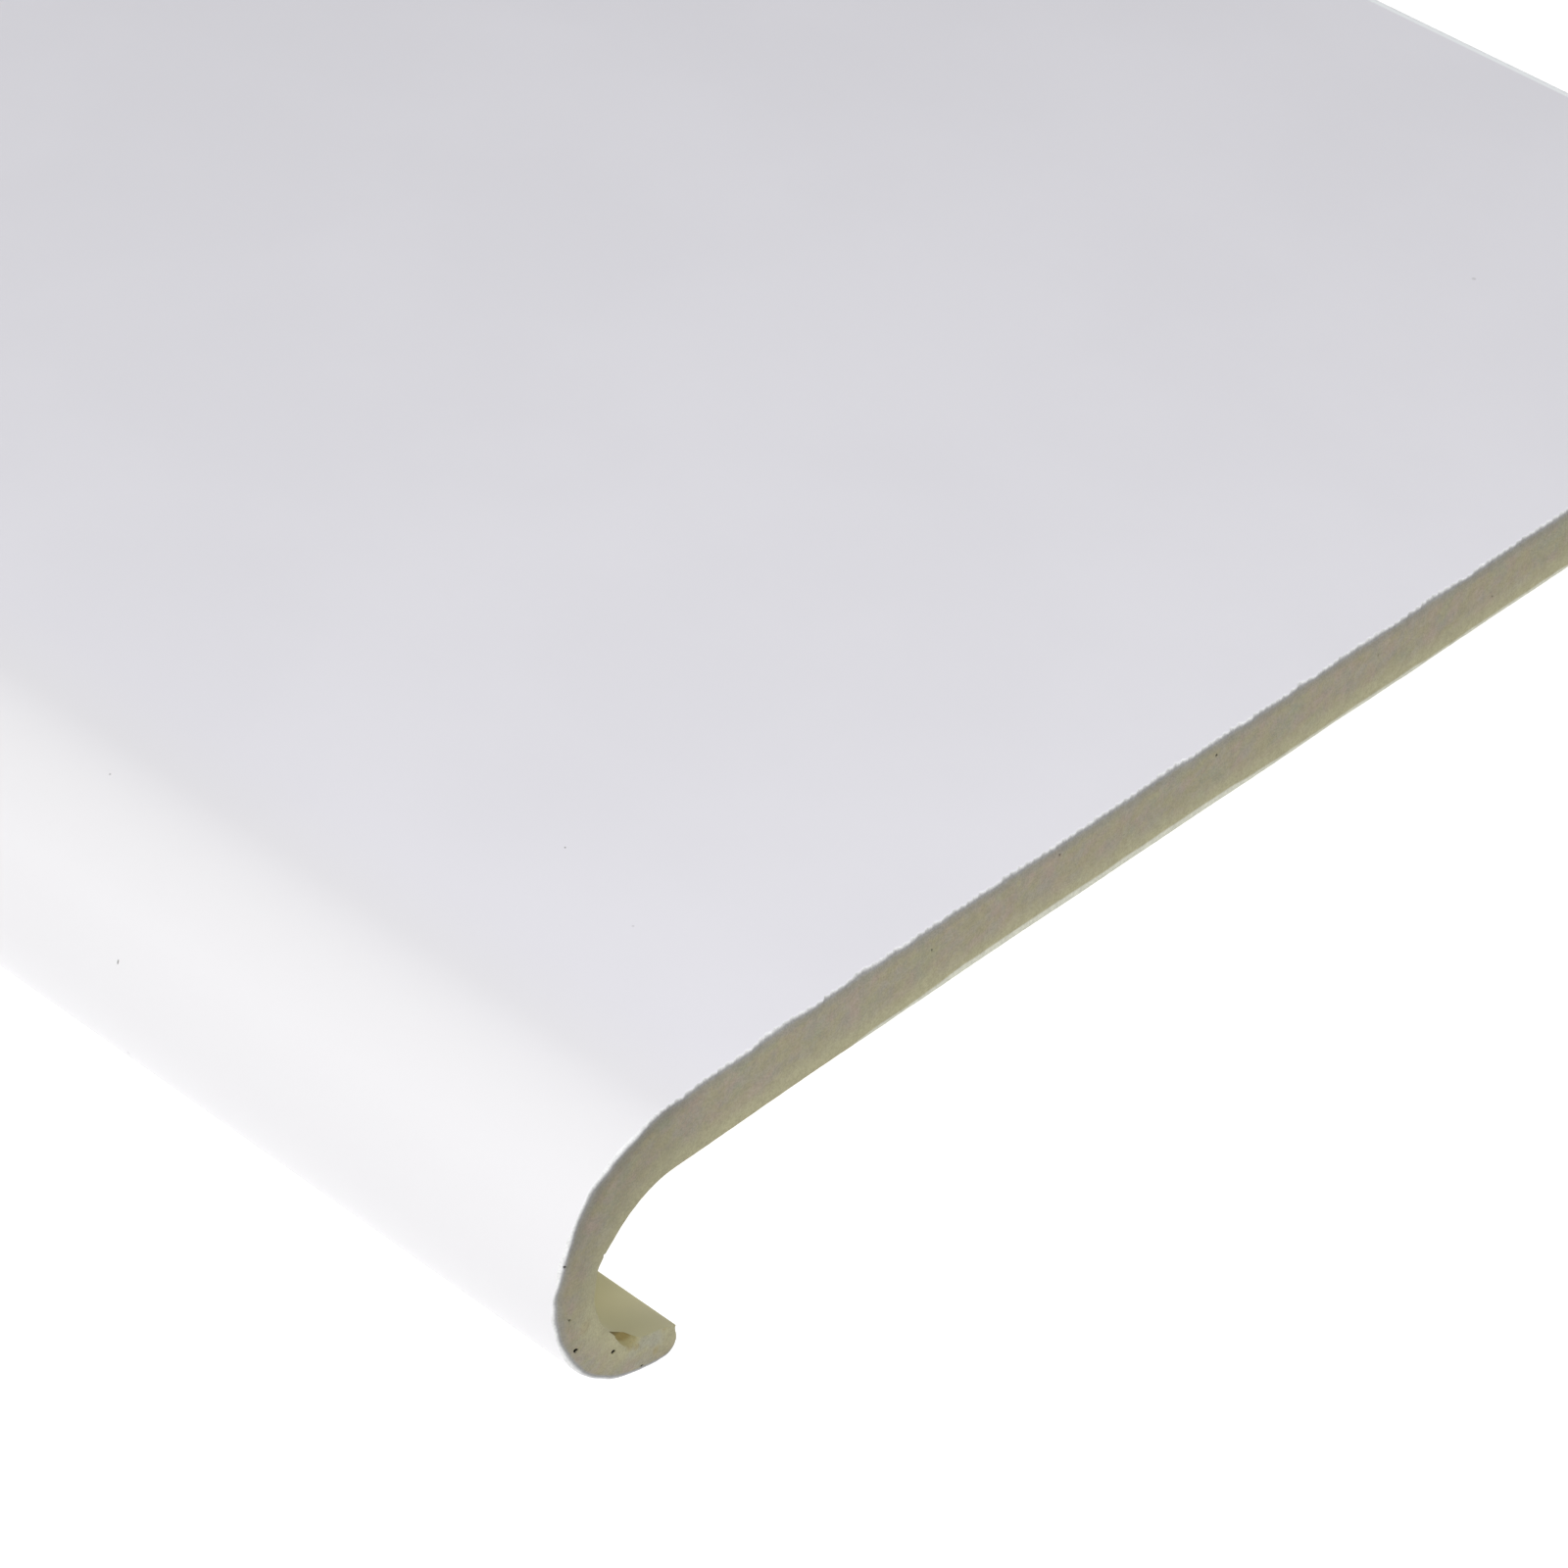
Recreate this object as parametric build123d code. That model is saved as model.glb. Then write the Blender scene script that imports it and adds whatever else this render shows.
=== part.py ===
from build123d import *
import os
from math import asin, atan2, cos, degrees, hypot, radians, sin

os.makedirs("parts", exist_ok=True)

# Stock size, in millimetres
board_length = 1250.0
board_width = 250.0
board_thickness = 9.0
edge_rounding = 1.0

# Outside of the rolled nose, followed from the flat top down to the tip of the lip
nose_depth = 37.0
shoulder_radius = 490.0
shoulder_turn = 3.5
upper_nose_radius = 15.8
upper_nose_turn = 58.0
lip_reach = 19.6
tip_rounding = 1.5

# Inside of the nose, followed from the flat underside down to the root of the lip
front_wall = 6.3
inner_shoulder_radius = 2200.0
inner_shoulder_turn = 1.55
hollow_turn = 127.0
lip_slope_length = 5.4
lip_root_height = 5.6
lip_root_rounding = 3.0
lip_crown = 0.35
tip_thickness = 3.7
tip_edge_rounding = 0.7


# Depth that a run of arcs gains while its direction turns between two angles
def drop(radius, turn_from, turn_to):
    return radius * (cos(radians(turn_from)) - cos(radians(turn_to)))


# Distance that the same run moves forward
def advance(radius, turn_from, turn_to):
    return radius * (sin(radians(turn_to)) - sin(radians(turn_from)))


upper_nose_end = shoulder_turn + upper_nose_turn
upper_drop = drop(shoulder_radius, 0, shoulder_turn)
upper_drop += drop(upper_nose_radius, shoulder_turn, upper_nose_end)
lower_nose_radius = (nose_depth - upper_drop) / (1 + cos(radians(upper_nose_end)))
tip_setback = (lower_nose_radius + tip_rounding - lip_reach) / (lower_nose_radius - tip_rounding)
lower_nose_end = 180 - degrees(asin(tip_setback))

hollow_end = inner_shoulder_turn + hollow_turn
hollow_depth = nose_depth - lip_root_height - board_thickness
hollow_depth -= drop(inner_shoulder_radius, 0, inner_shoulder_turn)
hollow_depth -= lip_slope_length * sin(radians(hollow_end))
hollow_radius = hollow_depth / drop(1, inner_shoulder_turn, hollow_end)

shoulder_start = (
    advance(shoulder_radius, 0, shoulder_turn)
    + advance(upper_nose_radius, shoulder_turn, upper_nose_end)
    + advance(lower_nose_radius, upper_nose_end, 90)
)
inner_shoulder_start = (
    front_wall
    + advance(inner_shoulder_radius, 0, inner_shoulder_turn)
    + advance(hollow_radius, inner_shoulder_turn, 90)
)


# Arc that carries on from the end of the one before it
def next_arc(before, radius, turn):
    return JernArc(before @ 1, before % 1, radius, turn)


# Rounds the corner of a section that lies nearest to a place
def round_corner(sketch, place, radius):
    fillet(sketch.vertices().sort_by_distance(place)[0], radius)


# Cross-section with the front of the nose at zero and the flat top at zero height
def section():
    with BuildSketch(Plane.YZ) as sketch:
        with BuildLine():
            shoulder = JernArc((shoulder_start, 0), (-1, 0), shoulder_radius, shoulder_turn)
            upper_nose = next_arc(shoulder, upper_nose_radius, upper_nose_turn)
            lower_nose = next_arc(upper_nose, lower_nose_radius, lower_nose_end - upper_nose_end)
            tip = next_arc(lower_nose, tip_rounding, 270 - lower_nose_end)

            underside = (inner_shoulder_start, -board_thickness)
            inner_shoulder = JernArc(underside, (-1, 0), inner_shoulder_radius, inner_shoulder_turn)
            hollow = next_arc(inner_shoulder, hollow_radius, hollow_turn)
            lip_slope = PolarLine(hollow @ 1, lip_slope_length, direction=hollow % 1)

            lip_root = lip_slope @ 1
            tip_top = (lip_reach, tip_thickness - nose_depth)
            Line(tip @ 1, tip_top)
            SagittaArc(tip_top, lip_root, lip_crown)
            Polyline(underside, (board_width, -board_thickness), (board_width, 0), (shoulder_start, 0))
        make_face()
        round_corner(sketch, tip_top, tip_edge_rounding)
        round_corner(sketch, lip_root, lip_root_rounding)
        round_corner(sketch, (board_width, 0), edge_rounding)
        round_corner(sketch, (board_width, -board_thickness), edge_rounding)
    return sketch.sketch


# Angle of the straight line that touches the tip of the lip and the lower back edge from below
def rest_tilt():
    tip_height = lower_nose_radius - nose_depth
    tip_height += (lower_nose_radius - tip_rounding) * cos(radians(lower_nose_end))
    along = board_width - edge_rounding - (lip_reach - tip_rounding)
    up = edge_rounding - board_thickness - tip_height
    return degrees(atan2(up, along) - asin((edge_rounding - tip_rounding) / hypot(along, up)))


# The board lies on the floor on its lip and its back edge, centred over the origin
def board():
    stock = extrude(section(), board_length / 2, both=True)
    stock = Rot(X=-rest_tilt()) * stock
    box = stock.bounding_box()
    return Pos(0, -box.center().Y, -box.min.Z) * stock


window_board_capping = board()
window_board_capping.label = "window_board_capping"
export_step(window_board_capping, "parts/window_board_capping.step")
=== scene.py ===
import math

import bmesh
import bpy
from mathutils import Matrix, Vector, noise


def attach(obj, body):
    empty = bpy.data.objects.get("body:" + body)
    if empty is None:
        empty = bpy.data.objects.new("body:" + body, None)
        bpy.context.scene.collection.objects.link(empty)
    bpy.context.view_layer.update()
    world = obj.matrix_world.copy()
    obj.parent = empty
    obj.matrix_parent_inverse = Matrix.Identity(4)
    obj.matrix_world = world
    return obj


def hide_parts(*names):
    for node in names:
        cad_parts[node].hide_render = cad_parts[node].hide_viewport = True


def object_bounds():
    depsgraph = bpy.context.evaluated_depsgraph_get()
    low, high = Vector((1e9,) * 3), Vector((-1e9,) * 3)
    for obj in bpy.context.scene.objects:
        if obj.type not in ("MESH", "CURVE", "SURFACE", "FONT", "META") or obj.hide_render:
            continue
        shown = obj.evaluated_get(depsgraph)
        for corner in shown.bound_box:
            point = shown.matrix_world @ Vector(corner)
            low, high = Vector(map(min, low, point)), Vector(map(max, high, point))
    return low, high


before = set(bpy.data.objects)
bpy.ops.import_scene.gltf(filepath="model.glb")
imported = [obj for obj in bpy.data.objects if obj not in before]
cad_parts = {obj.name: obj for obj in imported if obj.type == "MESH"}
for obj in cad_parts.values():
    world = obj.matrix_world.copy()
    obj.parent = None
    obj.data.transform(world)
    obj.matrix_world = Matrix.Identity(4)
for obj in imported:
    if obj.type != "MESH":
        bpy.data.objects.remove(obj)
cad_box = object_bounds()

MM = 0.001

# Section of the board, with the front of the nose at zero and the flat top at zero height
BOARD_WIDTH = 250.0 * MM
BOARD_THICKNESS = 9.0 * MM
EDGE_ROUNDING = 1.0 * MM
NOSE_DEPTH = 37.0 * MM
SHOULDER_RADIUS = 490.0 * MM
SHOULDER_TURN = math.radians(3.5)
UPPER_NOSE_RADIUS = 15.8 * MM
UPPER_NOSE_TURN = math.radians(58.0)
LIP_REACH = 19.6 * MM
TIP_ROUNDING = 1.5 * MM
FRONT_WALL = 6.3 * MM
INNER_SHOULDER_RADIUS = 2200.0 * MM
INNER_SHOULDER_TURN = math.radians(1.55)
HOLLOW_TURN = math.radians(127.0)
LIP_SLOPE_LENGTH = 5.4 * MM
LIP_ROOT_HEIGHT = 5.6 * MM
LIP_ROOT_ROUNDING = 3.0 * MM
LIP_CROWN = 0.35 * MM
TIP_THICKNESS = 3.7 * MM
TIP_EDGE_ROUNDING = 0.7 * MM
HALF_LENGTH = (cad_box[1].x - cad_box[0].x) / 2

# Fineness of the mesh, along the section, across the wall and along the board
FLAT_STEP = 0.30 * MM
NOSE_STEP = math.radians(0.95)
WALL_ROWS = 16
CORNER_STEPS = 4
SHOULDER_STEPS = 100
SLOPE_STEPS = 14
ROOT_STEPS = 8
CROWN_STEPS = 24
TIP_STEPS = 6
RING_PLACES = [0.2 * MM, 0.5 * MM, 3.0 * MM, 25.0 * MM, 200.0 * MM]
TOLERANCE = 0.002 * MM

# Angle past which an edge of the mesh shows sharp
SHARP_ANGLE = math.radians(50)

# Sawn ends: broken sharp edge and how near to it a point counts as lying on it, how far the relief reaches
# along the board, slow wander of the saw, and fine grain
ARRIS_ROUNDING = 0.12 * MM
EDGE_REACH = 2 * ARRIS_ROUNDING
RELIEF_REACH = 3.0 * MM
SAW_WANDER = 0.12 * MM
SAW_WANDER_PITCH = 15.0 * MM
GRAIN_DEPTH = 0.04 * MM
GRAIN_PITCH = 0.9 * MM

# Torn skin along the sawn ends, from the top round the nose: slow tears and short tears,
# how fast they fade away from the skin, and the heights between which they thin out to the share that is left
SLOW_TEAR_DEPTH = 0.62 * MM
SLOW_TEAR_PITCH = 7.0 * MM
SLOW_TEAR_SHARE = 0.35
SLOW_TEAR_SWING = 0.6
TEAR_DEPTH = 0.44 * MM
TEAR_PITCH = 2.4 * MM
TEAR_FADE = 0.7 * MM
TEARS_HIGH = -22.0 * MM
TEARS_LOW = -31.0 * MM
TEARS_LEFT = 0.5

# Teeth in the same edge, the heights between which they end, and how many teeth it takes until their spacing
# and their length change
TEETH_DEPTH = 0.50 * MM
TEETH_PITCH = 1.25 * MM
TEETH_EVEN = 0.6
TEETH_UNEVEN = 0.4
TEETH_PER_SHIFT = 5
TEETH_PER_CHANGE = 3
TEETH_HIGH = -0.6 * MM
TEETH_LOW = -3.5 * MM

# Share of the tears along the inner edge, under the flat board and in the hollow of the nose,
# the heights between which the one turns into the other, and how fast they fade away from that edge
INSIDE_TEARS = 0.1
HOLLOW_TEARS = 0.85
HOLLOW_TEARS_HIGH = -12.5 * MM
HOLLOW_TEARS_LOW = -18.5 * MM
INSIDE_FADE = 1.2 * MM

# Numbers that keep the patterns of the noise apart
WANDER_SEED = 7
SLOW_TEAR_SEED = 5
TEAR_SEED = 3
TEETH_SEED = 4
BURR_SEED = 0.5

# Cells of the foam that the saw opened at the near end, in millimetres:
# place in the section, half length, and how open, which sets the depth and the painted shade inside
OPEN_CELLS = [
    (3.64, -26.54, 0.34, 1.0),
    (3.94, -26.68, 0.24, 1.0),
    (3.68, -26.80, 0.22, 1.0),
    (9.70, -30.75, 0.42, 1.0),
    (2.40, -21.59, 0.24, 0.5),
    (2.12, -21.30, 0.16, 0.25),
    (1.25, -13.72, 0.24, 0.6),
    (14.47, -35.80, 0.26, 0.6),
    (103.39, -1.95, 0.30, 0.7),
    (76.33, -1.46, 0.24, 0.45),
    (55.53, -2.96, 0.24, 0.45),
    (155.81, -5.62, 0.24, 0.4),
    (133.15, -2.94, 0.24, 0.4),
]
CELL_DEPTH = 0.35 * MM
CELL_LEAN = math.radians(-30.0)
CELL_FLATNESS = 1.5
CELL_REACH = 0.6 * MM
CELL_CUTS = 4
CELL_CORE = 0.5
CELL_RAGGED_PITCH = 0.3 * MM

# How much the outlines of the cells and of the chip waver
RAGGEDNESS = 0.2

# Chip along the inner edge at the lip's root, near end, in millimetres:
# place across the board, reach along it
CHIP_REACHES = [
    (10.0, 0.0),
    (10.4, 1.7),
    (11.0, 2.2),
    (11.9, 2.4),
    (12.6, 2.1),
    (13.2, 1.6),
    (13.6, 0.5),
    (13.9, 0.0),
]
CHIP_HEIGHT = -27.0 * MM
CHIP_WIDTH = 0.12 * MM
CHIP_WIDENING = 0.24
CHIP_RAGGED_PITCH = 0.6
CHIP_LEAST = 0.02
CHIP_FULL = 0.5

# Small bits missing from the inner edge and from the tip, in millimetres:
# place in the section, half length, depth
NICKS = [
    (7.10, -15.95, 0.32, 0.22),
    (19.60, -34.10, 0.60, 0.12),
]
NICK_CORE = 0.3

# Thin pale burr left along the lower edge of the near end, widest along the middle stretch
BURR_START = 42.0 * MM
BURR_END = 176.0 * MM
BURR_WIDE_START = 62.0 * MM
BURR_WIDE_END = 106.0 * MM
BURR_FADE = 6.0 * MM
BURR_PATCH_PITCH = 3.0 * MM
BURR_WIDE_LEAST = 0.8
BURR_WIDE_SWING = 0.3
BURR_THIN_LEAST = 0.25
BURR_THIN_SWING = 0.5
BURR_DROP = 0.12 * MM
BURR_FULL = 0.5
BURR_WIDTH = 0.8

# Camera at the photograph's place, from the near end of the nose
CAMERA_FROM_NOSE = Vector((263.505, -258.812, 392.046)) * MM
CAMERA_AZIMUTH = math.radians(42.2125)
CAMERA_PITCH = math.radians(42.7257)
CAMERA_LENS = 126.21
CAMERA_SENSOR = 36.0

# Where the section's zero, the front of the nose at the height of the top, lies at the near end
NOSE_PLACE = Vector((625.0, -122.875, 38.904)) * MM

# Middle of the painted shade on the foam at the bend of the nose, and of the painted shade along its rim, in
# the section
NOSE_PAINTED_SHADE_Y = 4.0 * MM
NOSE_PAINTED_SHADE_Z = -9.0 * MM
RIM_PAINTED_SHADE_Y = 8.0 * MM
RIM_PAINTED_SHADE_Z = -4.5 * MM


# Depth that a run of arcs gains while its direction turns between two angles
def drop(radius, turn_from, turn_to):
    return radius * (math.cos(turn_from) - math.cos(turn_to))


# Distance that the same run moves forward
def advance(radius, turn_from, turn_to):
    return radius * (math.sin(turn_to) - math.sin(turn_from))


UPPER_NOSE_END = SHOULDER_TURN + UPPER_NOSE_TURN
UPPER_DROP = (
    drop(SHOULDER_RADIUS, 0, SHOULDER_TURN)
    + drop(UPPER_NOSE_RADIUS, SHOULDER_TURN, UPPER_NOSE_END)
)
LOWER_NOSE_RADIUS = (NOSE_DEPTH - UPPER_DROP) / (1 + math.cos(UPPER_NOSE_END))
TIP_SETBACK = (LOWER_NOSE_RADIUS + TIP_ROUNDING - LIP_REACH) / (LOWER_NOSE_RADIUS - TIP_ROUNDING)
LOWER_NOSE_END = math.pi - math.asin(TIP_SETBACK)
HOLLOW_END = INNER_SHOULDER_TURN + HOLLOW_TURN
HOLLOW_DEPTH = (
    NOSE_DEPTH - LIP_ROOT_HEIGHT - BOARD_THICKNESS
    - drop(INNER_SHOULDER_RADIUS, 0, INNER_SHOULDER_TURN)
    - LIP_SLOPE_LENGTH * math.sin(HOLLOW_END)
)
HOLLOW_RADIUS = HOLLOW_DEPTH / drop(1, INNER_SHOULDER_TURN, HOLLOW_END)
SHOULDER_START = (
    advance(SHOULDER_RADIUS, 0, SHOULDER_TURN)
    + advance(UPPER_NOSE_RADIUS, SHOULDER_TURN, UPPER_NOSE_END)
    + advance(LOWER_NOSE_RADIUS, UPPER_NOSE_END, math.pi / 2)
)
INNER_SHOULDER_START = (
    FRONT_WALL
    + advance(INNER_SHOULDER_RADIUS, 0, INNER_SHOULDER_TURN)
    + advance(HOLLOW_RADIUS, INNER_SHOULDER_TURN, math.pi / 2)
)
FLAT_STEPS = round((BOARD_WIDTH - EDGE_ROUNDING - INNER_SHOULDER_START) / FLAT_STEP)
APPROACH_STEPS = round((INNER_SHOULDER_START - SHOULDER_START) / FLAT_STEP)
UPPER_NOSE_STEPS = round(UPPER_NOSE_TURN / NOSE_STEP)
LOWER_NOSE_STEPS = round((HOLLOW_END - UPPER_NOSE_END) / NOSE_STEP)


# Angle of the straight line that touches the tip of the lip and the lower back edge from below
def rest_tilt():
    tip_height = LOWER_NOSE_RADIUS - NOSE_DEPTH
    tip_height += (LOWER_NOSE_RADIUS - TIP_ROUNDING) * math.cos(LOWER_NOSE_END)
    along = BOARD_WIDTH - EDGE_ROUNDING - (LIP_REACH - TIP_ROUNDING)
    up = EDGE_ROUNDING - BOARD_THICKNESS - tip_height
    return math.atan2(up, along) - math.asin((EDGE_ROUNDING - TIP_ROUNDING) / math.hypot(along, up))


# Where a point of the section lies in the scene, at the near end
def section_place(y, z):
    along, up = math.cos(rest_tilt()), math.sin(rest_tilt())
    return NOSE_PLACE + Vector((0, y * along + z * up, z * along - y * up))


def smooth_step(low, high, value):
    share = min(max((value - low) / (high - low), 0.0), 1.0)
    return share * share * (3 - 2 * share)


# Smooth noise from 0 to 1 at a place, the same in each run
def even_noise(place):
    return 0.5 + 0.5 * noise.noise(place)


# Draws one side of the section as a chain of edges, in straight runs and arcs
class Pen:
    def __init__(self, bm, y, z, heading):
        self.bm = bm
        self.heading = heading
        self.tip = bm.verts.new((0, y, z))
        self.verts = [self.tip]

    def direction(self, turn=0.0):
        angle = self.heading + turn
        return Vector((0, math.cos(angle), math.sin(angle)))

    def straight(self, length, steps):
        for _ in range(steps):
            grown = bmesh.ops.extrude_vert_indiv(self.bm, verts=[self.tip])
            self.tip = grown["verts"][0]
            bmesh.ops.translate(self.bm, verts=[self.tip], vec=self.direction() * (length / steps))
            self.verts.append(self.tip)

    def arc(self, radius, turn, steps):
        centre = self.tip.co + self.direction(math.copysign(math.pi / 2, turn)) * radius
        before = set(self.verts)
        bmesh.ops.spin(
            self.bm, geom=[self.tip], cent=centre, axis=(1, 0, 0), dvec=(0, 0, 0), angle=turn, steps=steps,
            use_merge=False, use_normal_flip=False, use_duplicate=False,
        )
        for _ in range(steps):
            beside = [edge.other_vert(self.tip) for edge in self.tip.link_edges]
            self.tip = next(vert for vert in beside if vert not in before)
            before.add(self.tip)
            self.verts.append(self.tip)
        self.heading += turn


def draw_outside(bm):
    pen = Pen(bm, BOARD_WIDTH, -EDGE_ROUNDING, math.pi / 2)
    pen.arc(EDGE_ROUNDING, math.pi / 2, CORNER_STEPS)
    pen.straight(BOARD_WIDTH - EDGE_ROUNDING - INNER_SHOULDER_START, FLAT_STEPS)
    pen.straight(INNER_SHOULDER_START - SHOULDER_START, APPROACH_STEPS)
    pen.arc(SHOULDER_RADIUS, SHOULDER_TURN, SHOULDER_STEPS)
    pen.arc(UPPER_NOSE_RADIUS, UPPER_NOSE_TURN, UPPER_NOSE_STEPS)
    pen.arc(LOWER_NOSE_RADIUS, HOLLOW_END - UPPER_NOSE_END, LOWER_NOSE_STEPS)
    pen.arc(LOWER_NOSE_RADIUS, LOWER_NOSE_END - HOLLOW_END, SLOPE_STEPS + ROOT_STEPS + CROWN_STEPS)
    pen.arc(TIP_ROUNDING, 3 * math.pi / 2 - LOWER_NOSE_END, TIP_STEPS)
    return pen.verts


# The crown of the lip is a shallow arc from the lip's root to the top of its tip
def crown_circle(root):
    tip_top = Vector((0, LIP_REACH, TIP_THICKNESS - NOSE_DEPTH))
    chord = tip_top - root
    radius = chord.length_squared / (8 * LIP_CROWN) + LIP_CROWN / 2
    below = Vector((0, chord.z, -chord.y)).normalized()
    return (root + tip_top) / 2 + below * (radius - LIP_CROWN), radius


def draw_inside(bm):
    pen = Pen(bm, BOARD_WIDTH, EDGE_ROUNDING - BOARD_THICKNESS, -math.pi / 2)
    pen.arc(EDGE_ROUNDING, -math.pi / 2, CORNER_STEPS)
    pen.straight(BOARD_WIDTH - EDGE_ROUNDING - INNER_SHOULDER_START, FLAT_STEPS)
    pen.arc(INNER_SHOULDER_RADIUS, INNER_SHOULDER_TURN, APPROACH_STEPS + SHOULDER_STEPS)
    pen.arc(HOLLOW_RADIUS, HOLLOW_TURN, UPPER_NOSE_STEPS + LOWER_NOSE_STEPS)

    # The rounding of the root touches the slope and the crown,
    # and that of the tip the crown and the tip's face
    centre, radius = crown_circle(pen.tip.co + pen.direction() * LIP_SLOPE_LENGTH)
    offset = pen.tip.co + pen.direction(math.pi / 2) * LIP_ROOT_ROUNDING - centre
    ahead = offset.dot(pen.direction())
    slope = -ahead - math.sqrt(ahead * ahead - offset.length_squared + (radius + LIP_ROOT_ROUNDING) ** 2)
    root_side = offset + pen.direction() * slope
    crown_start = math.atan2(root_side.z, root_side.y)
    crown_end = math.acos((LIP_REACH - TIP_EDGE_ROUNDING - centre.y) / (radius - TIP_EDGE_ROUNDING))
    pen.straight(slope, SLOPE_STEPS)
    pen.arc(LIP_ROOT_ROUNDING, (crown_start + 3 * math.pi / 2 - pen.heading) % (2 * math.pi), ROOT_STEPS)
    pen.arc(radius, crown_end - crown_start, CROWN_STEPS)
    pen.arc(TIP_EDGE_ROUNDING, -crown_end, TIP_STEPS)
    return pen.verts


# The wall between both sides, with rows across it and the distance from each side kept on its points
def make_wall():
    bm = bmesh.new()
    from_skin = bm.verts.layers.float.new("from_skin")
    from_inside = bm.verts.layers.float.new("from_inside")
    inner_side = bm.verts.layers.float.new("inner_side")
    outside = draw_outside(bm)
    inside = draw_inside(bm)
    for outer, inner in zip(outside, inside):
        thickness = (outer.co - inner.co).length
        outer[from_inside] = thickness / MM
        inner[from_skin] = thickness / MM
        inner[inner_side] = 1.0
    sides = set(bm.edges)
    bmesh.ops.bridge_loops(bm, edges=bm.edges[:])
    across = [edge for edge in bm.edges if edge not in sides]
    bmesh.ops.subdivide_edges(bm, edges=across, cuts=WALL_ROWS - 1, use_grid_fill=True)
    for vert in bm.verts:
        from_edge = min(BOARD_WIDTH - vert.co.y, vert[from_skin] * MM)
        vert[from_skin] = from_edge / MM
    return bm


# Places of the two finishes in the mesh's list
SKIN = 0
FOAM = 1


def is_sawn(face):
    return all(abs(abs(vert.co.x) - HALF_LENGTH) < TOLERANCE for vert in face.verts)


# Runs the section along the whole length, closes both sawn ends and breaks their sharp edges
def make_length(bm):
    bmesh.ops.translate(bm, verts=bm.verts[:], vec=(HALF_LENGTH, 0, 0))
    swept = bmesh.ops.extrude_face_region(bm, geom=bm.faces[:])
    far_end = [item for item in swept["geom"] if isinstance(item, bmesh.types.BMVert)]
    bmesh.ops.translate(bm, verts=far_end, vec=(-2 * HALF_LENGTH, 0, 0))
    bmesh.ops.recalc_face_normals(bm, faces=bm.faces[:])
    for place in RING_PLACES:
        for x in (HALF_LENGTH - place, place - HALF_LENGTH):
            everything = bm.verts[:] + bm.edges[:] + bm.faces[:]
            bmesh.ops.bisect_plane(
                bm, geom=everything, dist=TOLERANCE, plane_co=(x, 0, 0), plane_no=(1, 0, 0)
            )
    sawn = {face for face in bm.faces if is_sawn(face)}
    arrises = [edge for edge in bm.edges if sum(face in sawn for face in edge.link_faces) == 1]
    bmesh.ops.bevel(
        bm, geom=arrises, affect="EDGES", offset=ARRIS_ROUNDING, offset_type="OFFSET",
        segments=2, profile=0.5, material=-1, clamp_overlap=True,
    )


# Divides the faces round each opened cell and nick and along the chip, where the relief is finest
def refine_relief(bm):
    centres = [Vector((HALF_LENGTH, y * MM, z * MM)) for y, z, _, _ in OPEN_CELLS + NICKS]
    from_inside = bm.verts.layers.float["from_inside"]
    chosen = set()
    for face in bm.faces:
        if min(vert.co.x for vert in face.verts) < HALF_LENGTH - RELIEF_REACH - TOLERANCE:
            continue
        middle = face.calc_center_median()
        near_cell = is_sawn(face) and any((middle - centre).length < CELL_REACH for centre in centres)
        inside_distance = min(vert[from_inside] for vert in face.verts) * MM
        if near_cell or chip_at(middle.y, middle.z, inside_distance) > 0:
            chosen.update(face.edges)

    # A set has another order in each run, so the edges are taken in the order of the mesh
    edges = [edge for edge in bm.edges if edge in chosen]
    bmesh.ops.subdivide_edges(bm, edges=edges, cuts=CELL_CUTS, use_grid_fill=True)


# How far the chip reaches along the board at a point of the end, in millimetres
def chip_at(y, z, inside_distance):
    if z > CHIP_HEIGHT:
        return 0.0
    y /= MM
    for (start, first), (end, second) in zip(CHIP_REACHES, CHIP_REACHES[1:]):
        if start < y < end:
            reach = first + (second - first) * (y - start) / (end - start)
            width = CHIP_WIDTH + CHIP_WIDENING * (y - CHIP_REACHES[0][0]) * MM
            ragged = 1 + RAGGEDNESS * noise.noise(Vector((y, z / MM, 0)) / CHIP_RAGGED_PITCH)
            return reach * (1 - smooth_step(0, width * ragged, inside_distance))
    return 0.0


# Depth of the nicks at a point of the end
def nick_at(y, z):
    depths = [0.0]
    for nick_y, nick_z, half_length, depth in NICKS:
        away = math.hypot(y / MM - nick_y, z / MM - nick_z)
        depths.append(depth * (1 - smooth_step(NICK_CORE * half_length, half_length, away)))
    return max(depths) * MM


# How open the cells of the foam are at a point of the end, which sets their depth and the painted shade in
# them
def cell_depth_and_shade_at(y, z):
    darkest = 0.0
    for cell_y, cell_z, half_length, darkness in OPEN_CELLS:
        across = Vector((y / MM - cell_y, z / MM - cell_z)) @ Matrix.Rotation(CELL_LEAN, 2)
        away = math.hypot(across.x, across.y * CELL_FLATNESS)
        ragged = half_length * (1 + RAGGEDNESS * noise.noise(Vector((y, z, 0)) / CELL_RAGGED_PITCH))
        darkest = max(darkest, darkness * (1 - smooth_step(CELL_CORE * ragged, ragged, away)))
    return darkest


# How much burr the lower edge holds at a point along it
def burr_at(y):
    ends = smooth_step(BURR_START, BURR_START + BURR_FADE, y) * smooth_step(BURR_END, BURR_END - BURR_FADE, y)
    wide = smooth_step(BURR_WIDE_START - BURR_FADE, BURR_WIDE_START, y)
    wide *= smooth_step(BURR_WIDE_END + BURR_FADE, BURR_WIDE_END, y)
    patches = even_noise(Vector((y / BURR_PATCH_PITCH, BURR_SEED, BURR_SEED)))
    where_wide = BURR_WIDE_LEAST + BURR_WIDE_SWING * patches
    where_thin = BURR_THIN_LEAST + BURR_THIN_SWING * patches
    return ends * (wide * where_wide + (1 - wide) * where_thin)


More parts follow.
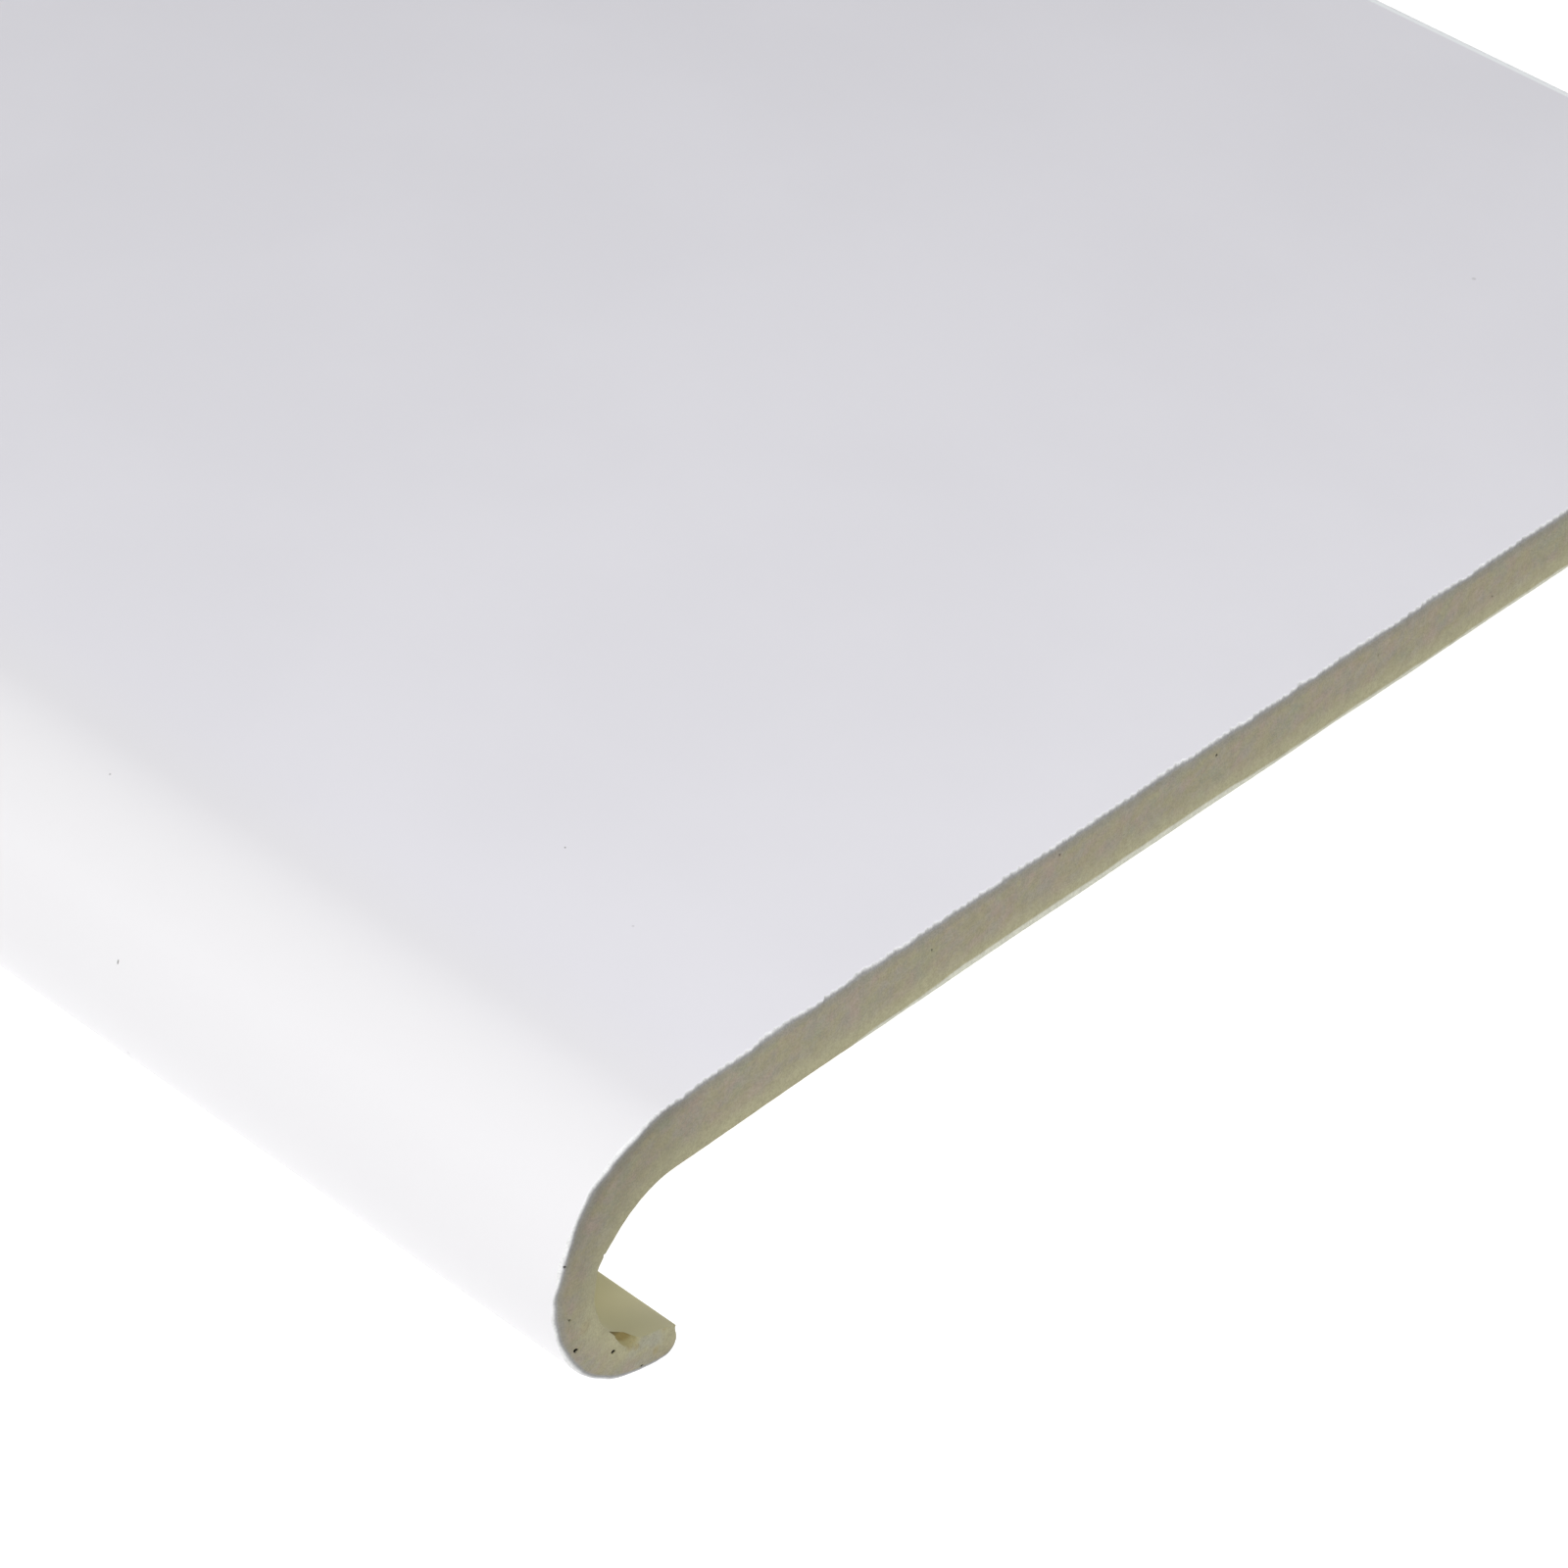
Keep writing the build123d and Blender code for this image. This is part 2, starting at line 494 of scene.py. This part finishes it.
# How deep the saw left a point of the end, without its cells, its nicks and its chip
def saw_depth(y, z, side, from_skin, from_inside):
    wander = even_noise(Vector((y / SAW_WANDER_PITCH, side * WANDER_SEED, 0)))
    slow = noise.noise(Vector((y / SLOW_TEAR_PITCH, z / SLOW_TEAR_PITCH, side * SLOW_TEAR_SEED)))
    slow_tear = max(0.0, SLOW_TEAR_SHARE + SLOW_TEAR_SWING * slow)
    tear = even_noise(Vector((y / TEAR_PITCH, z / TEAR_PITCH, side * TEAR_SEED)))
    phase = (y + z) / TEETH_PITCH + noise.noise(Vector((y / TEETH_PITCH / TEETH_PER_SHIFT, side, 0)))
    uneven = noise.noise(Vector((y / TEETH_PITCH / TEETH_PER_CHANGE, side, TEETH_SEED)))
    tooth = abs(2 * (phase % 1) - 1) * (TEETH_EVEN + TEETH_UNEVEN * uneven)
    grain = even_noise(Vector((y, z, side)) / GRAIN_PITCH)
    at_skin = TEARS_LEFT + (1 - TEARS_LEFT) * smooth_step(TEARS_LOW, TEARS_HIGH, z)
    in_hollow = smooth_step(HOLLOW_TEARS_HIGH, HOLLOW_TEARS_LOW, z)
    at_inside = INSIDE_TEARS + (HOLLOW_TEARS - INSIDE_TEARS) * in_hollow
    share = max(at_skin * math.exp(-from_skin / TEAR_FADE), at_inside * math.exp(-from_inside / INSIDE_FADE))
    torn = SLOW_TEAR_DEPTH * slow_tear + TEAR_DEPTH * tear
    torn += TEETH_DEPTH * tooth * smooth_step(TEETH_LOW, TEETH_HIGH, z)
    return SAW_WANDER * wander + torn * share + GRAIN_DEPTH * grain


# Pushes the points of both sawn ends inwards, never beyond the board's length, lowers the burr,
# and keeps on each point what the finishes need of its cell, its chip and its burr
def carve_ends(bm):
    from_skin = bm.verts.layers.float["from_skin"]
    from_inside = bm.verts.layers.float["from_inside"]
    inner_side = bm.verts.layers.float["inner_side"]
    cell_depth_and_shade, chip, burr = (bm.verts.layers.float.new(name) for name in ("cell_depth_and_shade", "chip", "burr"))
    for vert in bm.verts:
        at_inside = vert[from_inside] * MM < EDGE_REACH
        if at_inside:
            vert[inner_side] = 1.0
        x, y, z = vert.co
        away = HALF_LENGTH - abs(x)
        if away > RELIEF_REACH - TOLERANCE:
            continue
        side = math.copysign(1, x)
        at_end = away < EDGE_REACH
        depth = saw_depth(y, z, side, vert[from_skin] * MM, vert[from_inside] * MM)
        if side > 0:
            broken = chip_at(y, z, vert[from_inside] * MM)
            depth += broken * MM + nick_at(y, z)
            if at_end:
                vert[cell_depth_and_shade] = cell_depth_and_shade_at(y, z)
                vert[chip] = broken
                depth += CELL_DEPTH * vert[cell_depth_and_shade]
            vert[burr] = burr_at(y)
            if at_end and at_inside:
                vert.co.z -= BURR_DROP * min(1.0, vert[burr] / BURR_FULL)
        vert.co.x -= side * depth * (1 - away / RELIEF_REACH)
    for face in bm.faces:
        if min(vert[chip] for vert in face.verts) > CHIP_LEAST:
            face.material_index = FOAM


# Lays the board on its lip and its back edge, inside the box of the solid
def lay_down(bm):
    bmesh.ops.rotate(bm, verts=bm.verts[:], cent=(0, 0, 0), matrix=Matrix.Rotation(-rest_tilt(), 3, "X"))
    low = Vector([min(vert.co[axis] for vert in bm.verts) for axis in range(3)])
    high = Vector([max(vert.co[axis] for vert in bm.verts) for axis in range(3)])
    size = high - low
    room = cad_box[1] - cad_box[0]
    fit = [min(1.0, room[axis] / size[axis]) for axis in range(3)]
    bmesh.ops.translate(bm, verts=bm.verts[:], vec=-(low + high) / 2)
    bmesh.ops.scale(bm, verts=bm.verts[:], vec=fit)
    bmesh.ops.translate(bm, verts=bm.verts[:], vec=(cad_box[0] + cad_box[1]) / 2)


# A shader socket that takes part in sums, as in 1 - mask
class Wire:
    def __init__(self, shader, socket):
        self.shader = shader
        self.socket = socket

    def math(self, operation, first, second):
        return self.shader.node("ShaderNodeMath", {"operation": operation}, {0: first, 1: second})

    def __add__(self, other):
        return self.math("ADD", self, other)

    def __radd__(self, other):
        return self.math("ADD", other, self)

    def __sub__(self, other):
        return self.math("SUBTRACT", self, other)

    def __rsub__(self, other):
        return self.math("SUBTRACT", other, self)

    def __mul__(self, other):
        return self.math("MULTIPLY", self, other)

    def __rmul__(self, other):
        return self.math("MULTIPLY", other, self)


class Shader:
    def __init__(self, name):
        self.material = bpy.data.materials.new(name)
        self.material.use_nodes = True
        self.tree = self.material.node_tree
        self.surface = self.tree.nodes["Principled BSDF"]

    def feed(self, socket, value):
        if isinstance(value, Wire):
            self.tree.links.new(value.socket, socket)
        else:
            socket.default_value = value

    def node(self, kind, settings, inputs, output=0):
        node = self.tree.nodes.new(kind)
        for name, value in settings.items():
            setattr(node, name, value)
        for name, value in inputs.items():
            self.feed(node.inputs[name], value)
        return Wire(self, node.outputs[output])

    def finish(self, **sockets):
        for name, value in sockets.items():
            self.feed(self.surface.inputs[name.replace("_", " ").title().replace("Ior", "IOR")], value)
        return self.material

    def place(self):
        return self.node("ShaderNodeTexCoord", {}, {}, "Object")

    def attribute(self, name):
        return self.node("ShaderNodeAttribute", {"attribute_name": name}, {}, "Fac")

    def stretch(self, vector, scale):
        return self.node("ShaderNodeVectorMath", {"operation": "MULTIPLY"}, {0: vector, 1: scale})

    def distance(self, vector, point):
        return self.node("ShaderNodeVectorMath", {"operation": "DISTANCE"}, {0: vector, 1: point}, "Value")

    def noise(self, vector, scale, detail=2.0, roughness=0.5):
        inputs = {"Vector": vector, "Scale": scale, "Detail": detail, "Roughness": roughness}
        return self.node("ShaderNodeTexNoise", {}, inputs)

    def cells(self, vector, scale):
        return self.node("ShaderNodeTexVoronoi", {}, {"Vector": vector, "Scale": scale}, "Distance")

    # Rises smoothly from 0 at the first limit to the full value at the second
    def ramp(self, value, low, high, full=1.0):
        inputs = {"Value": value, "From Min": low, "From Max": high, "To Min": 0.0, "To Max": full}
        return self.node("ShaderNodeMapRange", {"interpolation_type": "SMOOTHSTEP"}, inputs)

    def blend(self, share, first, second):
        return self.node("ShaderNodeMix", {"data_type": "RGBA"}, {0: share, 6: first, 7: second}, 2)

    def bump(self, height, depth):
        return self.node("ShaderNodeBump", {}, {"Height": height, "Distance": depth}, "Normal")


# Colours as the eye names them, given as display values from 0 to 255 and stored as light
def paint(red, green, blue):
    light = [((part / 255 + 0.055) / 1.055) ** 2.4 for part in (red, green, blue)]
    return (*light, 1.0)


WHITE_SKIN = paint(232, 231, 237)
WHITE_SKIN_DULL = paint(230, 229, 235)
# Painted light on the white: a more neutral tint at the nose for warm bounce light, and a painted highlight
# along the back edge
PAINTED_NOSE_BOUNCE_WHITE = paint(232, 231, 233)
PAINTED_EDGE_HIGHLIGHT = paint(247, 250, 252)
CREAM_SIDE = paint(197, 192, 162)
CREAM_SIDE_OLIVE = paint(192, 188, 156)
SPECK_COLOUR = paint(95, 92, 92)
SKIN_CUT = paint(224, 224, 225)
SKIN_CUT_THICK = paint(247, 247, 247)
# Grey rim on the skin's cut and darker foam beside it, both painted shade
PAINTED_SHADE_RIM = paint(154, 154, 153)
FOAM_PAINTED_SHADE = paint(145, 143, 133)
FOAM_GREY = paint(158, 152, 137)
FOAM_PINK = paint(166, 152, 137)
FOAM_GREEN = paint(152, 154, 130)
FOAM_WARM = paint(161, 155, 121)
# Yellower, lighter foam towards the inner side, painted bounce light
FOAM_BOUNCE_LIGHT_YELLOW = paint(175, 170, 137)
FOAM_PALE = paint(163, 161, 143)
FOAM_OCHRE = paint(164, 153, 114)
# Near black, for painted shade in the opened cells, at the nose, along the rim and at the lip, and for the
# real dark of grain and mottling
SHADE_AND_GRAIN_DARK = paint(20, 16, 10)
# Chip colours by depth: the foam's own olive and brown, darkened deeper in by painted shade
CHIP_DEEP_PAINTED_SHADE = paint(106, 97, 66)
CHIP_BROWN = paint(139, 125, 80)
CHIP_OLIVE = paint(157, 149, 110)
BURR_COLOUR = paint(219, 219, 203)

# Lighter and ochre stains of the foam at the lip and the lower nose, in millimetres:
# place in the section, radius and strength
PALE_STAINS = [
    (14.5, -32.5, 1.4, 0.7),
    (16.0, -33.0, 1.7, 0.8),
    (17.1, -33.7, 1.3, 0.35),
    (12.6, -33.0, 1.2, 0.5),
    (13.4, -35.0, 0.8, 0.4),
]
OCHRE_STAINS = [
    (16.4, -34.8, 0.9, 0.8),
    (17.7, -32.6, 0.7, 0.8),
    (12.4, -31.7, 0.9, 0.8),
    (13.4, -32.3, 0.6, 0.8),
    (4.9, -24.1, 1.0, 0.4),
]

# Swellings of the white skin's cut round the nose, in millimetres: place in the section, radius and rise
SKIN_SWELLS = [
    (8.3, -3.0, 5.0, 0.20),
    (1.0, -13.0, 5.0, 0.40),
    (0.5, -22.0, 5.0, 0.12),
    (2.7, -28.0, 4.5, 0.22),
]

# Middle of the underside of the nose, in the section, where the foam has no painted shade beside the skin
UNDERSIDE_Y = 12.0 * MM
UNDERSIDE_Z = -36.0 * MM

# Dust specks on the white skin, in millimetres: place along and across the board, radius and strength
SPECKS = [
    (586.9, 78.1, 0.36, 0.22),
    (589.6, -86.4, 0.13, 0.9),
    (560.2, -123.9, 0.14, 0.8),
    (547.1, -111.8, 0.16, 0.45),
    (603.3, -90.5, 0.18, 0.2),
]
SPECK_CORE = 0.5

# In the values below a pair of limits says where a tone starts and where it is full,
# and a scale says how fine a noise is

# White skin: clouds, lines drawn along the board, and fine peel
TWO_TONES = (0.35, 0.65)
CLOUD_SCALE = 26.0
LINES_STRETCH = (2.0, 420.0, 420.0)
PEEL_SCALE = 900.0
LINES_RELIEF = 0.6
PEEL_RELIEF = 0.4
SKIN_RELIEF = 0.006 * MM
SKIN_ROUGHNESS = 0.36
LINES_ROUGHNESS = 0.05
SKIN_IOR = 1.5

# Painted light along the whole board: a more neutral white at the nose, painted for the warm bounce light
# there, and a paler band along the back edge, a painted highlight; place in the section, both limits and the
# colour
PAINTED_LIGHT_ZONES = [
    (8.0 * MM, -20.0 * MM, 26.0 * MM, 16.0 * MM, PAINTED_NOSE_BOUNCE_WHITE),
    (BOARD_WIDTH, 0.0, 1.9 * MM, 1.4 * MM, PAINTED_EDGE_HIGHLIGHT),
]

# Cream inner side, rougher than the white, with painted shade at the sawn end of the lip
INNER_LIMITS = (0.90, 0.97)
CREAM_SCALE = 70.0
CREAM_ROUGHNESS = 0.15
LIP_PAINTED_SHADE_Y = 14.0 * MM
LIP_PAINTED_SHADE_Z = -31.0 * MM
LIP_PAINTED_SHADE_STRETCH = Vector((1.0, 0.35, 0.35))
LIP_PAINTED_SHADE_LIMITS = (8.0 * MM, 1.5 * MM)
LIP_PAINTED_SHADE = 0.33

# Fine dust: the middles of wide cells, out to the limits given, and only where a slow noise is high
DUST_SCALE = 34.0
DUST_LIMITS = (0.003, 0.007)
DUST_PATCH_SCALE = 9.0
DUST_PATCH_LIMITS = (0.55, 0.6)
DUST_STRENGTH = 0.6

# Tones of the cut foam: colour, stretch upwards, scale, detail and roughness of the noise, limits, strength
FOAM_TONES = [
    (FOAM_PINK, 1.0, 330.0, 5.0, 0.7, (0.42, 0.60), 1.0),
    (FOAM_GREEN, 1.3, 210.0, 5.0, 0.7, (0.48, 0.66), 0.75),
    (FOAM_WARM, 1.6, 290.0, 6.0, 0.75, (0.38, 0.64), 0.75),
]

# Slow drift by which the outlines of the foam's zones and of the skin waver, in millimetres
DRIFT_SCALE = 260.0
ZONE_WAVER = 2.0
SKIN_WAVER = 0.4

# Zones of the cut by their distance from the inner side and from the skin, in millimetres: painted bounce
# light towards the inner side, painted shade beside the skin, a grey rim of painted shade, a darker rim of
# painted shade at the nose, and the white cut of the skin
BOUNCE_LIGHT_YELLOW_LIMITS = (4.4, 0.4)
PAINTED_SHADE_LIMITS = (1.7, 0.75)
PAINTED_SHADE_RIM_LIMITS = (0.75, 0.35)
RIM_PAINTED_SHADE_DEPTHS = (2.6, 0.8)
SKIN_CUT_LIMITS = (0.42, 0.05)
SKIN_CUT_THICK_LIMITS = (0.2, -0.1)

# Cores of the stains and swellings as a share of their radius, and the painted shades round the middles given
# above
STAIN_CORE = 0.4
SWELL_CORE = 0.3
NOSE_PAINTED_SHADE_LIMITS = (23.0 * MM, 6.0 * MM)
NOSE_PAINTED_SHADE = 0.15
RIM_PAINTED_SHADE_LIMITS = (14.0 * MM, 7.0 * MM)
RIM_PAINTED_SHADE = 0.2
UNDERSIDE_LIMITS = (10.0 * MM, 17.0 * MM)
PAINTED_SHADE_BESIDE_SKIN = 0.7

# Burr, grain, mottling, chip with its painted shade, opened cells with their painted shade, and pits of the
# cut
BURR_EDGE_LIMITS = (0.2, -0.2)
BURR_LIMITS = (0.05, 0.25)
FINE_SCALE = 4200.0
FINE_LIMITS = (0.3, 0.8)
FINE_SHADE = 0.22
MOTTLE_SCALE = 640.0
MOTTLE_LIMITS = (0.36, 0.66)
MOTTLE_SHADE = 0.11
CHIP_BROWN_LIMITS = (0.7, 1.3)
CHIP_DEEP_PAINTED_SHADE_LIMITS = (1.7, 2.4)
CELL_PAINTED_SHADE_LIMITS = (0.1, 0.6)
PIT_SCALE = 2600.0
PIT_LIMITS = (0.1, 0.5)
FINE_RELIEF = 0.5
PIT_RELIEF = 0.5
FOAM_RELIEF = 0.05 * MM
FOAM_ROUGHNESS = 0.85
FOAM_IOR = 1.45


def white_skin():
    shader = Shader("white_skin")
    place = shader.place()
    inner = shader.ramp(shader.attribute("inner_side"), *INNER_LIMITS)
    lines = shader.noise(shader.stretch(place, LINES_STRETCH), 1.0, detail=3.0)
    clouds = shader.ramp(shader.noise(place, CLOUD_SCALE, detail=3.0), *TWO_TONES)
    white = shader.blend(clouds, WHITE_SKIN, WHITE_SKIN_DULL)
    section = shader.stretch(place, (0.0, 1.0, 1.0))
    # Painted bounce light at the nose and a painted highlight along the back edge
    for y, z, start, full, colour in PAINTED_LIGHT_ZONES:
        middle = section_place(y, z)
        middle.x = 0.0
        white = shader.blend(shader.ramp(shader.distance(section, middle), start, full), white, colour)
    olive = shader.ramp(shader.noise(place, CREAM_SCALE, detail=4.0), *TWO_TONES)
    cream = shader.blend(olive, CREAM_SIDE, CREAM_SIDE_OLIVE)
    # Painted shade on the cream side at the lip's sawn end, short along the board and wide across it
    lip_end = section_place(LIP_PAINTED_SHADE_Y, LIP_PAINTED_SHADE_Z) * LIP_PAINTED_SHADE_STRETCH
    from_lip = shader.distance(shader.stretch(place, LIP_PAINTED_SHADE_STRETCH), lip_end)
    cream = shader.blend(shader.ramp(from_lip, *LIP_PAINTED_SHADE_LIMITS) * LIP_PAINTED_SHADE, cream, SHADE_AND_GRAIN_DARK)
    rare = shader.ramp(shader.noise(place, DUST_PATCH_SCALE, detail=0.0), *DUST_PATCH_LIMITS)
    dust = (1 - shader.ramp(shader.cells(place, DUST_SCALE), *DUST_LIMITS)) * rare * DUST_STRENGTH
    flat = shader.stretch(place, (1.0, 1.0, 0.0))
    for x, y, radius, strength in SPECKS:
        away = shader.distance(flat, (x * MM, y * MM, 0.0))
        dust = dust + shader.ramp(away, radius * MM, SPECK_CORE * radius * MM) * strength
    white = shader.blend(dust, white, SPECK_COLOUR)
    cream = shader.blend(shader.attribute("burr"), cream, BURR_COLOUR)
    colour = shader.blend(inner, white, cream)
    peel = shader.noise(place, PEEL_SCALE)
    normal = shader.bump(lines * LINES_RELIEF + peel * PEEL_RELIEF, SKIN_RELIEF)
    roughness = SKIN_ROUGHNESS + lines * LINES_ROUGHNESS + inner * CREAM_ROUGHNESS
    return shader.finish(base_color=colour, roughness=roughness, normal=normal, ior=SKIN_IOR)


def foam_cut():
    shader = Shader("foam_cut")
    place = shader.place()
    from_skin = shader.attribute("from_skin")
    from_inside = shader.attribute("from_inside")
    drift = shader.noise(place, DRIFT_SCALE, detail=3.0) - 0.5
    foam = FOAM_GREY
    for colour, upright, scale, detail, roughness, limits, strength in FOAM_TONES:
        patches = shader.noise(shader.stretch(place, (1.0, 1.0, upright)), scale, detail, roughness)
        foam = shader.blend(shader.ramp(patches, *limits) * strength, foam, colour)
    # Painted bounce light: the cut turns yellower and lighter towards the inner side
    bounce_light_yellow = shader.ramp(from_inside + drift * ZONE_WAVER, *BOUNCE_LIGHT_YELLOW_LIMITS)
    foam = shader.blend(bounce_light_yellow, foam, FOAM_BOUNCE_LIGHT_YELLOW)
    for stains, colour in ((PALE_STAINS, FOAM_PALE), (OCHRE_STAINS, FOAM_OCHRE)):
        for y, z, radius, strength in stains:
            away = shader.distance(place, section_place(y * MM, z * MM)) + drift * ZONE_WAVER * MM
            stain = shader.ramp(away, radius * MM, STAIN_CORE * radius * MM)
            foam = shader.blend(stain * strength, foam, colour)
    # Painted shade on the foam at the bend of the nose
    bend = shader.distance(place, section_place(NOSE_PAINTED_SHADE_Y, NOSE_PAINTED_SHADE_Z))
    foam = shader.blend(shader.ramp(bend, *NOSE_PAINTED_SHADE_LIMITS) * NOSE_PAINTED_SHADE, foam, SHADE_AND_GRAIN_DARK)

    # How deep a point lies under the skin, which swells round the nose
    depth = from_skin + drift * SKIN_WAVER
    for y, z, radius, rise in SKIN_SWELLS:
        away = shader.distance(place, section_place(y * MM, z * MM))
        depth = depth - shader.ramp(away, radius * MM, SWELL_CORE * radius * MM) * rise
    # Painted shade on the cut beside the skin, where its torn edge leans away, fading out under the nose, and
    # a grey rim of painted shade nearer the skin
    underside = shader.distance(place, section_place(UNDERSIDE_Y, UNDERSIDE_Z))
    painted_shade = shader.ramp(underside, *UNDERSIDE_LIMITS) * PAINTED_SHADE_BESIDE_SKIN
    foam = shader.blend(shader.ramp(depth, *PAINTED_SHADE_LIMITS) * painted_shade, foam, FOAM_PAINTED_SHADE)
    foam = shader.blend(shader.ramp(depth, *PAINTED_SHADE_RIM_LIMITS), foam, PAINTED_SHADE_RIM)
    # Painted shade along the rim of the cut round the upper nose
    rim_painted_shade = shader.distance(place, section_place(RIM_PAINTED_SHADE_Y, RIM_PAINTED_SHADE_Z))
    rim_painted_shade = shader.ramp(rim_painted_shade, *RIM_PAINTED_SHADE_LIMITS) * shader.ramp(depth, *RIM_PAINTED_SHADE_DEPTHS)
    foam = shader.blend(rim_painted_shade * RIM_PAINTED_SHADE, foam, SHADE_AND_GRAIN_DARK)
    skin_cut = shader.blend(shader.ramp(depth, *SKIN_CUT_THICK_LIMITS), SKIN_CUT, SKIN_CUT_THICK)
    foam = shader.blend(shader.ramp(depth, *SKIN_CUT_LIMITS), foam, skin_cut)

    burr = shader.attribute("burr")
    burr_edge = shader.ramp(from_inside - burr * BURR_WIDTH, *BURR_EDGE_LIMITS)
    foam = shader.blend(burr_edge * shader.ramp(burr, *BURR_LIMITS), foam, BURR_COLOUR)
    fine = shader.noise(place, FINE_SCALE, detail=2.0, roughness=0.6)
    foam = shader.blend(shader.ramp(fine, *FINE_LIMITS, FINE_SHADE), foam, SHADE_AND_GRAIN_DARK)
    mottle = shader.noise(place, MOTTLE_SCALE, detail=5.0, roughness=0.75)
    foam = shader.blend(shader.ramp(mottle, *MOTTLE_LIMITS, MOTTLE_SHADE), foam, SHADE_AND_GRAIN_DARK)
    chip = shader.attribute("chip")
    # Colour of the chip by its depth: olive, then brown, then near black; the darkening with depth is painted
    # shade in the chip's narrow bottom, over the torn foam's own brown
    chip_colour_and_shade = shader.blend(shader.ramp(chip, *CHIP_BROWN_LIMITS), CHIP_OLIVE, CHIP_BROWN)
    chip_colour_and_shade = shader.blend(shader.ramp(chip, *CHIP_DEEP_PAINTED_SHADE_LIMITS), chip_colour_and_shade, CHIP_DEEP_PAINTED_SHADE)
    foam = shader.blend(shader.ramp(chip, CHIP_LEAST, CHIP_FULL), foam, chip_colour_and_shade)
    # Painted shade inside the opened cells
    foam = shader.blend(shader.ramp(shader.attribute("cell_depth_and_shade"), *CELL_PAINTED_SHADE_LIMITS), foam, SHADE_AND_GRAIN_DARK)
    pits = shader.ramp(shader.cells(place, PIT_SCALE), *PIT_LIMITS)
    normal = shader.bump(fine * FINE_RELIEF + pits * PIT_RELIEF, FOAM_RELIEF)
    return shader.finish(base_color=foam, roughness=FOAM_ROUGHNESS, normal=normal, ior=FOAM_IOR)


def make_board():
    bm = make_wall()
    make_length(bm)
    refine_relief(bm)
    for face in bm.faces:
        face.smooth = True
        face.material_index = FOAM if is_sawn(face) else SKIN
    carve_ends(bm)
    lay_down(bm)
    mesh = bpy.data.meshes.new("capping_board")
    bm.to_mesh(mesh)
    bm.free()
    mesh.materials.append(white_skin())
    mesh.materials.append(foam_cut())
    mesh.set_sharp_from_angle(angle=SHARP_ANGLE)
    board = bpy.data.objects.new("capping_board", mesh)
    bpy.context.scene.collection.objects.link(board)
    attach(board, "root")
    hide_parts("window_board_capping")


# Pale floor, a hair below the board, which gives off light,
# so that it shows as white as the photograph's ground
FLOOR_SIZE = 30.0
FLOOR_GAP = 0.05 * MM
FLOOR_TONE_SCALE = 3.0
FLOOR_COLOUR = paint(150, 150, 150)
FLOOR_COLOUR_COOL = paint(147, 147, 148)
FLOOR_ROUGHNESS = 0.9
FLOOR_GLOW = 0.93
WHITE_LIGHT = (1.0, 1.0, 1.0, 1.0)


def make_floor():
    bm = bmesh.new()
    bmesh.ops.create_grid(bm, x_segments=1, y_segments=1, size=FLOOR_SIZE)
    bmesh.ops.translate(bm, verts=bm.verts[:], vec=(0, 0, -FLOOR_GAP))
    mesh = bpy.data.meshes.new("floor")
    bm.to_mesh(mesh)
    bm.free()
    shader = Shader("pale_floor")
    tone = shader.noise(shader.place(), FLOOR_TONE_SCALE)
    colour = shader.blend(tone, FLOOR_COLOUR, FLOOR_COLOUR_COOL)
    mesh.materials.append(
        shader.finish(
            base_color=colour, roughness=FLOOR_ROUGHNESS,
            emission_color=WHITE_LIGHT, emission_strength=FLOOR_GLOW,
        )
    )
    floor = bpy.data.objects.new("floor", mesh)
    bpy.context.scene.collection.objects.link(floor)


# Soft lights of the studio: name, place, target and width in metres, power in watts
LIGHTS = [
    ("key_light", (0.9, -1.9, 1.7), (0.45, 0.0, 0.0), 1.6, 21.6),
    ("left_light", (-0.7, -1.6, 0.45), (0.1, -0.1, 0.02), 0.9, 2.5),
    ("top_light", (0.75, 0.15, 1.5), (0.5, 0.0, 0.0), 1.2, 7.9),
    ("near_light", (0.95, -0.28, 0.72), (0.58, -0.02, 0.02), 0.45, 2.6),
]
WORLD_STRENGTH = 0.16


def make_light(name, place, target, size, power):
    light = bpy.data.lights.new(name, "AREA")
    light.shape = "DISK"
    light.size = size
    light.energy = power
    lamp = bpy.data.objects.new(name, light)
    lamp.location = place
    lamp.rotation_mode = "QUATERNION"
    lamp.rotation_quaternion = (Vector(target) - Vector(place)).to_track_quat("-Z", "Y")
    bpy.context.scene.collection.objects.link(lamp)


def make_camera():
    data = bpy.data.cameras.new("camera")
    data.sensor_width = CAMERA_SENSOR
    data.lens = CAMERA_LENS
    camera = bpy.data.objects.new("camera", data)
    forward = Vector((
        -math.cos(CAMERA_PITCH) * math.sin(CAMERA_AZIMUTH),
        math.cos(CAMERA_PITCH) * math.cos(CAMERA_AZIMUTH),
        -math.sin(CAMERA_PITCH),
    ))
    right = forward.cross(Vector((0, 0, 1))).normalized()
    turn = Matrix((right, right.cross(forward), -forward)).transposed()
    camera.matrix_world = Matrix.Translation(NOSE_PLACE + CAMERA_FROM_NOSE) @ turn.to_4x4()
    bpy.context.scene.collection.objects.link(camera)
    bpy.context.scene.camera = camera


make_board()
make_floor()
for light in LIGHTS:
    make_light(*light)
make_camera()

world = bpy.data.worlds.new("studio")
world.use_nodes = True
world.node_tree.nodes["Background"].inputs["Color"].default_value = WHITE_LIGHT
world.node_tree.nodes["Background"].inputs["Strength"].default_value = WORLD_STRENGTH
bpy.context.scene.world = world
bpy.context.scene.view_settings.view_transform = "Standard"
